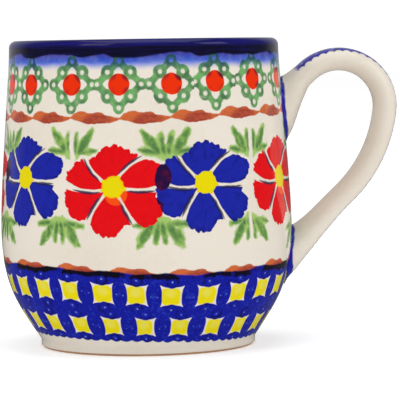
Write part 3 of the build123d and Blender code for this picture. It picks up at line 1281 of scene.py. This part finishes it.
@dataclass(frozen=True)
class HandleForm:
    """The handle's centreline and section in millimetres, as one pulled strap from wall to wall."""

    MAP_LENGTH = 200.0  # the paint map's height covers this many millimetres along the handle
    MAP_START = 30.0

    loop_centre: Point = (61.4, 73.8)
    loop_radius: float = 14.8
    back_radius: float = 42.6
    upper_lean: float = 42.2
    loop_turn: float = 139.0
    back_turn: float = 39.5
    thickness: float = 7.2
    width: float = 13.6
    upper_widening: float = 10.0
    lower_widening: float = 8.0
    sectors: int = 56
    wall: TurnedForm = field(default_factory=TurnedForm)

    def arcs(self) -> list[tuple[Point, float, float]]:
        """Stations along the two arcs: place, heading in degrees and distance from the first."""
        stations = []
        for step in range(61):
            heading = math.radians(self.upper_lean - self.loop_turn * step / 60)
            place = (
                self.loop_centre[0] - self.loop_radius * math.sin(heading),
                self.loop_centre[1] + self.loop_radius * math.cos(heading),
            )
            stations.append((place, math.degrees(heading),
                             self.loop_radius * math.radians(self.loop_turn * step / 60)))
        (end_x, end_z), turned_to, travelled = stations[-1]
        heading = math.radians(turned_to)
        centre = (end_x + self.back_radius * math.sin(heading), end_z - self.back_radius * math.cos(heading))
        for step in range(1, 41):
            heading = math.radians(turned_to - self.back_turn * step / 40)
            place = (centre[0] - self.back_radius * math.sin(heading),
                     centre[1] + self.back_radius * math.cos(heading))
            reach = travelled + self.back_radius * math.radians(self.back_turn * step / 40)
            stations.append((place, math.degrees(heading), reach))
        return stations

    def growth(self, upper: bool, past: float) -> tuple[float, float, float]:
        """How much a root has opened.

        Args:
            upper: whether it is the upper root.
            past: millimetres past the wall, less than 0 outside it.

        Returns:
            What it has grown by across both sides, at the finger side and at the outer face.
        """
        opened = max(0.0, min(1.0, (past + 12.5) / 12.5)) ** 1.6
        deep = max(0.0, past)
        across = (self.upper_widening if upper else self.lower_widening) * (0.41 * opened + 0.06 * deep)
        if upper:
            swelling = 0.335 * max(0.0, past + 10.0) ** 1.15
            near_end = max(0.0, 1.6 - abs(swelling - 7.0)) / 1.6
            return across, min(swelling, 7.0) - 0.4 * near_end * near_end, 1.85 * opened + 0.27 * deep
        settled = max(0.0, min(1.0, (past + 20.0) / 24.0))
        return across, 1.64 * opened + 0.24 * deep, 2.5 * settled**1.2

    def skin(self, place: Point, heading: float, around: float, inset: float,
             growth: Sequence[float]) -> Vector:
        """A point on the handle's skin.

        Args:
            place: the centreline's X and Z.
            heading: its direction in degrees above +X.
            around: the angle round the section, 0 at the finger side and half a turn at the outer face.
            inset: how far below the glazed surface.
            growth: how much it has grown across, at the finger side and at the outer face.

        Returns:
            The point, in millimetres.
        """
        lean = math.radians(heading)
        ridge = 0.10 * math.cos(3 * around) + 0.06 * math.cos(5 * around + 0.7)
        side = (self.width + growth[0]) / 2 - inset
        deep = (self.thickness + growth[1] + growth[2]) / 2 - inset
        out = (growth[2] - growth[1]) / 2 - math.cos(around) * (deep + ridge)
        return Vector((place[0] - math.sin(lean) * out, math.sin(around) * side,
                       place[1] + math.cos(lean) * out))

    def root(self, end: Point, heading: float, inset: float, upper: bool) -> list[list[tuple[Vector, float]]]:
        """Rings of points on one straight, from the arc to just inside the wall.

        Args:
            end: the arc's end.
            heading: the centreline's direction there, in degrees.
            inset: how far below the glazed surface.
            upper: whether it is the upper root, where that direction points away from the wall.

        Returns:
            For each ring, the points and how far each lies from the arc.
        """
        way = -1.0 if upper else 1.0
        step = (way * math.cos(math.radians(heading)), way * math.sin(math.radians(heading)))
        nominal = (end[0] - (self.wall.rim_radius if upper else self.wall.belly_radius)) / abs(step[0])

        def point(reach: float, around: float) -> Vector:
            """The skin's point at a distance from the arc."""
            place = (end[0] + step[0] * reach, end[1] + step[1] * reach)
            return self.skin(place, heading, around, inset, self.growth(upper, reach - nominal))

        meets = []
        for sector in range(self.sectors):
            around, near, far = ROUND_TURN * sector / self.sectors, nominal - 9.0, nominal + 14.0
            for _ in range(30):
                middle = (near + far) / 2
                spot = point(middle, around)
                angle = math.atan2(spot.y, spot.x)
                if math.hypot(spot.x, spot.y) > self.wall.radius_at(spot.z) + wobble(angle, spot.z):
                    near = middle
                else:
                    far = middle
            meets.append(near + 0.45)
        rings, count = [], 26
        for index in range(1, count + 1):
            share = 1 - (1 - index / count) ** 1.5
            ring = []
            for sector, meet in enumerate(meets):
                reach, around = meet * share, ROUND_TURN * sector / self.sectors
                fillet = 0.7 * math.exp(-(meet - 0.45 - reach) / 1.1) if reach < meet - 0.4 else 0.75
                spot = point(reach, around)
                centre = Vector((end[0] + step[0] * reach, 0.0, end[1] + step[1] * reach))
                outwards = (spot - centre).normalized()
                ring.append((spot + outwards * fillet, reach))
            rings.append(ring)
        return rings

    def tube(self, inset: float) -> list[list[tuple[Vector, float]]]:
        """Every ring from the upper wall to the lower one: points, and how far each lies along the handle."""
        stations = self.arcs()
        first, last = stations[0], stations[-1]
        upper = self.root(first[0], first[1], inset, True)
        lower = self.root(last[0], last[1], inset, False)
        turns = [ROUND_TURN * sector / self.sectors for sector in range(self.sectors)]
        rings = [[(spot, -reach) for spot, reach in ring] for ring in reversed(upper)]
        rings += [[(self.skin(place, heading, a, inset, (0, 0, 0)), reach) for a in turns]
                  for place, heading, reach in stations]
        return rings + [[(spot, last[2] + reach) for spot, reach in ring] for ring in lower]

    def footprint(self, upper: bool) -> tuple[float, float, float]:
        """Where a root meets the wall: its middle height, and half its height and width in millimetres."""
        place, heading, _ = self.arcs()[0 if upper else -1]
        ring = [spot for spot, _ in self.root(place, heading, 0.0, upper)[-1]]
        low, high = min(spot.z for spot in ring), max(spot.z for spot in ring)
        return (low + high) / 2, (high - low) / 2, max(spot.y for spot in ring)

    def shell(self, name: str) -> bpy.types.Object:
        """Builds the glaze coat on the handle as a closed shell.

        Args:
            name: the piece's name.

        Returns:
            The new object.
        """
        mesh = bmesh.new()
        paint, bake = (mesh.loops.layers.uv.new(label) for label in (PAINT_MAP, "OFBake"))
        outer, inner = self.tube(0.0), self.tube(self.wall.glaze)
        skins = [[[mesh.verts.new(spot * MM) for spot, _ in ring] for ring in rings]
                 for rings in (outer, inner)]
        longest = outer[-1][0][1] - outer[0][0][1]

        def face(corners: Sequence[tuple[bmesh.types.BMVert, float, float]], shown: bool) -> None:
            """Adds a face whose corners give how far round and along they lie."""
            made = mesh.faces.new([vert for vert, _, _ in corners])
            middle = sum(along for _, _, along in corners) / len(corners) + 20.0
            row = min(int(middle / 50.0), 2)
            for loop, (_, turn, along) in zip(made.loops, corners):
                loop[paint].uv = (turn, (along + self.MAP_START) / self.MAP_LENGTH)
                share = (along + 20.0 - row * 50.0) / 50.0
                if shown:
                    loop[bake].uv = (0.06 + 0.88 * share, row * 0.31 + 0.01 + 0.28 * turn)
                else:
                    loop[bake].uv = (0.01 + 0.98 * (along + 20.0) / (longest + 40.0), 0.945 + 0.045 * turn)

        for which, (rings, verts) in enumerate(zip((outer, inner), skins)):
            for index in range(len(rings) - 1):
                for sector in range(self.sectors):
                    after = (sector + 1) % self.sectors
                    spots = ((index, sector, sector), (index + 1, sector, sector),
                             (index + 1, after, sector + 1), (index, after, sector + 1))
                    face([(verts[i][s], turn / self.sectors, rings[i][s][1]) for i, s, turn in spots],
                         which == 0)
        for index in (0, -1):
            for sector in range(self.sectors):
                after = (sector + 1) % self.sectors
                spots = ((0, sector, sector), (0, after, sector + 1), (1, after, sector + 1),
                         (1, sector, sector))
                face([(skins[w][index][s], turn / self.sectors, outer[index][s][1])
                      for w, s, turn in spots], False)
        return finished(name, mesh)


# ----------------------------------------------------------------------------------------------------------
# Sub-assemblies
# ----------------------------------------------------------------------------------------------------------


def shows(piece: bpy.types.Object, stands_for: str, finish: bpy.types.Material) -> None:
    """Puts a finished piece in place of a CAD node.

    Args:
        piece: the new object.
        stands_for: the CAD node it replaces.
        finish: its material.
    """
    piece.data.materials.append(finish)
    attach(piece, "root")
    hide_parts(stands_for)
    LOG.info("%s: %d faces, stands for %s", piece.name, len(piece.data.polygons), stands_for)


@dataclass
class ClayWork:
    """The thrown clay body, and the clay handle with the slip that joins it."""

    form: TurnedForm
    kit: Kit
    edge_rounding: float = 0.5

    def build(self) -> bpy.types.Object:
        """Builds the thrown body with its foot ring."""
        foot, ring, soft = (self.form.foot_radius - self.form.glaze, self.form.recess_radius,
                            self.edge_rounding)
        line: list[Point] = [(0.0, self.form.recess_depth), (ring * 0.5, self.form.recess_depth),
                             (ring, self.form.recess_depth)]
        line += arc((ring + soft, soft), soft, 180, 270, 5)
        line += [(ring + (foot - ring) * share, 0.0) for share in (0.3, 0.5, 0.7)]
        line += arc((foot - soft, soft), soft, 270, 360, 5)
        line += list(reversed(self.form.outside(self.form.glaze, 0.7, 0.5)))
        line += self.form.inside(self.form.glaze, 0.5)[1:]
        return turned("thrown_body", line)

    def dress(self, frame: dict) -> None:
        """Gives the body, the handle and the slip their clay.
        """
        shows(self.build(), "mug_body", BareClay(self.kit, name="body_clay").made())
        hidden = (("handle", BareClay(self.kit, name="handle_clay", coarseness=0.45)),
                  ("upper_slip_joint", None), ("lower_slip_joint", None))
        slip = BareClay(self.kit, name="joining_slip", coarseness=0.25).made()
        for node, finish in hidden:
            piece = frame["nodes"][node]
            piece.data.materials.clear()
            piece.data.materials.append(finish.made() if finish else slip)
            LOG.info("%s: kept from the CAD", node)


@dataclass
class GlazeWork:
    """The four coats of glaze."""

    form: TurnedForm
    handle: HandleForm
    kit: Kit

    def outer_coat(self) -> bpy.types.Object:
        """Builds the painted coat on the outside."""
        shown = self.form.outside(0.0, self.form.glaze_line)
        back = self.form.outside(self.form.glaze, self.form.glaze_line, 0.4)
        return turned("painted_coat", shown + list(reversed(back)), shown=len(shown),
                      low_end=self.form.glaze_line)

    def liner(self) -> bpy.types.Object:
        """Builds the coat poured inside."""
        front = list(reversed(self.form.inside(0.0)))
        return turned("liner_coat", front + self.form.inside(self.form.glaze, 0.4))

    def base(self) -> bpy.types.Object:
        """Builds the coat in the hollow under the floor, a little fuller where it meets the foot ring."""
        top, low, edge = (self.form.recess_depth, self.form.recess_depth - self.form.glaze,
                          self.form.recess_radius)
        face = [(0.0, low), (edge * 0.4, low), (edge * 0.8, low), (edge - 1.2, low), (edge - 0.5, low - 0.05)]
        return turned("base_coat", face + [(edge - 0.1, low - 0.2), (edge, low - 0.25), (edge, top),
                                           (0.0, top)], columns=160)

    def dress(self) -> None:
        """Builds the coats and gives each its glaze."""
        shows(self.outer_coat(), "outer_glaze", PaintedGlaze(self.kit).made())
        shows(self.liner(), "inner_glaze", LinerGlaze(self.kit).made())
        # The base coat is the liner's glaze darkened further as painted shade, as under the mug.
        shows(self.base(), "base_glaze",
              LinerGlaze(self.kit, name="base_glaze_coat", shade=0.35).made())
        shows(self.handle.shell("handle_coat"), "handle_glaze", HandleGlaze(self.kit).made())


@dataclass
class Studio:
    """Table, light and camera."""

    kit: Kit
    turn: float = -6.0  # degrees from straight in front
    drop: float = 3.56  # degrees that the camera looks down
    roll: float = 0.85
    distance: float = 0.746
    aim: tuple[float, float] = (0.0169, 0.0449)  # how far right of the axis and how high it looks
    lens: float = 214.2

    def table(self) -> None:
        """Builds the pale table top."""
        mesh = bmesh.new()
        bmesh.ops.create_circle(mesh, cap_ends=True, radius=9.0, segments=96)
        made = finished("table_top", mesh)
        made.data.materials.append(TableTop(self.kit).made())
        made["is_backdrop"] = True
        tree = made.data.materials[0].node_tree
        sheet, shader = Sheet(tree), next(n for n in tree.nodes if n.type == "BSDF_PRINCIPLED")
        path = sheet.node("ShaderNodeLightPath")
        shader.inputs["Emission Color"].default_value = (1.0, 1.0, 1.0, 1.0)
        seen, bounced = (Value(sheet, path.outputs["Is Camera Ray"]),
                         Value(sheet, path.outputs["Is Diffuse Ray"]))
        sheet.feed(shader.inputs["Emission Strength"], seen * 0.3 + bounced * 0.3)
        dim, mixed = sheet.node("ShaderNodeEmission"), sheet.node("ShaderNodeMixShader")
        dim.inputs["Strength"].default_value = 0.12
        tree.links.new(path.outputs["Is Glossy Ray"], mixed.inputs[0])
        tree.links.new(shader.outputs[0], mixed.inputs[1])
        tree.links.new(dim.outputs[0], mixed.inputs[2])
        tree.links.new(mixed.outputs[0], next(n for n in tree.nodes
                                              if n.type == "OUTPUT_MATERIAL").inputs["Surface"])

    def lamp(self, name: str, place: tuple[float, float, float], size: tuple[float, float],
             power: float) -> None:
        """Hangs a soft rectangular lamp that faces the mug.

        Args:
            name: the lamp's name.
            place: where it hangs.
            size: its width and height.
            power: in watts.
        """
        light = bpy.data.lights.new(name, "AREA")
        light.shape, light.size, light.size_y, light.energy = "RECTANGLE", *size, power
        made = bpy.data.objects.new(name, light)
        made.location = place
        made.rotation_euler = (Vector((0, 0, 0.05)) - Vector(place)).to_track_quat("-Z", "Y").to_euler()
        bpy.context.scene.collection.objects.link(made)

    def light(self) -> None:
        """Hangs the lamps and lights the room."""
        self.lamp("lamp_overhead", (0.0, -0.2, 1.6), (1.6, 1.6), 9.0)
        self.lamp("lamp_left", (-1.2, -1.0, 1.1), (0.8, 0.8), 3.0)
        self.lamp("lamp_right", (1.4, -0.8, 1.0), (0.8, 0.8), 3.0)
        world = bpy.data.worlds.new("room")
        world.use_nodes = True
        sheet = Sheet(world.node_tree)
        world.node_tree.nodes.clear()
        end = sheet.node("ShaderNodeOutputWorld")
        seen = Value(sheet, sheet.node("ShaderNodeLightPath").outputs["Is Camera Ray"])
        room = sheet.node("ShaderNodeBackground")
        glossy = Value(sheet, sheet.node("ShaderNodeLightPath").outputs["Is Glossy Ray"])
        spot = sheet.node("ShaderNodeTexCoord")
        parted = sheet.node("ShaderNodeSeparateXYZ")
        world.node_tree.links.new(spot.outputs["Generated"], parted.inputs[0])
        behind = Value(sheet, parted.outputs[1]).ramp(0.45, 0.85) * 0.32 + 0.1
        sheet.feed(room.inputs["Strength"], (seen * 0.2 + 0.85) * (1 - glossy) + behind * glossy)
        world.node_tree.links.new(room.outputs[0], end.inputs[0])
        room.inputs["Color"].default_value = (1.0, 1.0, 1.0, 1.0)
        bpy.context.scene.world = world
        bpy.context.scene.view_settings.view_transform = "Standard"

    def camera(self) -> None:
        """Sets the camera."""
        turn, drop, roll = (math.radians(angle) for angle in (self.turn, self.drop, self.roll))
        right = Vector((math.cos(turn), math.sin(turn), 0))
        ahead = Vector((-math.sin(turn) * math.cos(drop), math.cos(turn) * math.cos(drop), -math.sin(drop)))
        up = right.cross(ahead)
        side, top = right * math.cos(roll) - up * math.sin(roll), up * math.cos(roll) + right * math.sin(roll)
        data = bpy.data.cameras.new("camera")
        data.lens, data.sensor_width, data.clip_start, data.clip_end = self.lens, 36.0, 0.05, 50.0
        made = bpy.data.objects.new("camera", data)
        made.matrix_world = Matrix((side, top, -ahead)).transposed().to_4x4()
        made.location = (right * self.aim[0] + Vector((0, 0, self.aim[1]))
                         - ahead * (self.distance / math.cos(drop)))
        bpy.context.scene.collection.objects.link(made)
        bpy.context.scene.camera = made

    def set_up(self) -> None:
        """Sets the table, the lamps and the camera."""
        self.table()
        self.light()
        self.camera()


def main(frame: dict, cad_box: Sequence[Vector]) -> None:
    """Builds the mug, then its surroundings.

    Args:
        cad_box: the CAD model's lowest and highest corners. Not used.
    """
    logging.basicConfig(level=logging.INFO)
    form, kit = TurnedForm(), Kit.built()
    ClayWork(form, kit).dress(frame)
    GlazeWork(form, HandleForm(wall=form), kit).dress()
    Studio(kit).set_up()
    LOG.info("sizes written")


if __name__ == "__main__":
    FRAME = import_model()
    main(FRAME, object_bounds())
